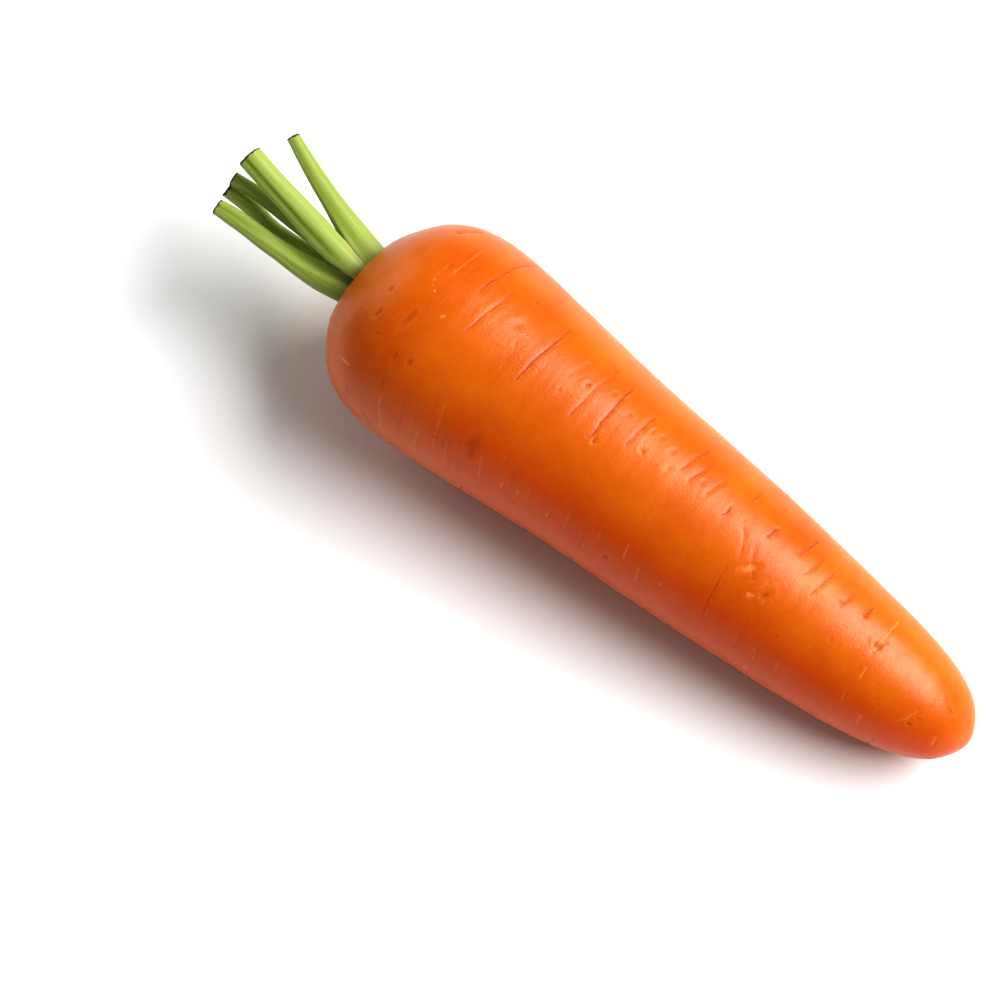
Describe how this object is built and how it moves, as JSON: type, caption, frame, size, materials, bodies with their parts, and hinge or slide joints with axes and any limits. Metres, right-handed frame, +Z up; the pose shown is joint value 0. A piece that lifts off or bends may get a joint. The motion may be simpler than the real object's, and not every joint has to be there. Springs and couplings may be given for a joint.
{
  "type": "carrot",
  "caption": "Whole fresh carrot lying on its side: a stout, blunt-tipped tapered root with cut leaf stalks at the crown.",
  "frame": {"origin": "centre of the bounding box at the surface that the carrot lies on", "axes": "+X from the cut stalks towards the tip of the root, +Z up from the surface it lies on, +Y completes a right-handed frame"},
  "size_m": [0.212, 0.054, 0.0521],
  "materials": {
    "carrot_skin": "satin, moist raw carrot skin with fine cross creases",
    "dry_leaf_base": "dry, papery",
    "leaf_stalk": "satin green leaf stalk, ribbed lengthwise"
  },
  "bodies": {
    "root": {"carrot_root": "carrot_skin", "crown_collar": "dry_leaf_base", "stalk_right": "leaf_stalk", "stalk_centre": "leaf_stalk", "stalk_back_upper": "leaf_stalk", "stalk_back_lower": "leaf_stalk", "stalk_left": "leaf_stalk", "young_stalk_stub": "leaf_stalk"}
  },
  "joints": []
}
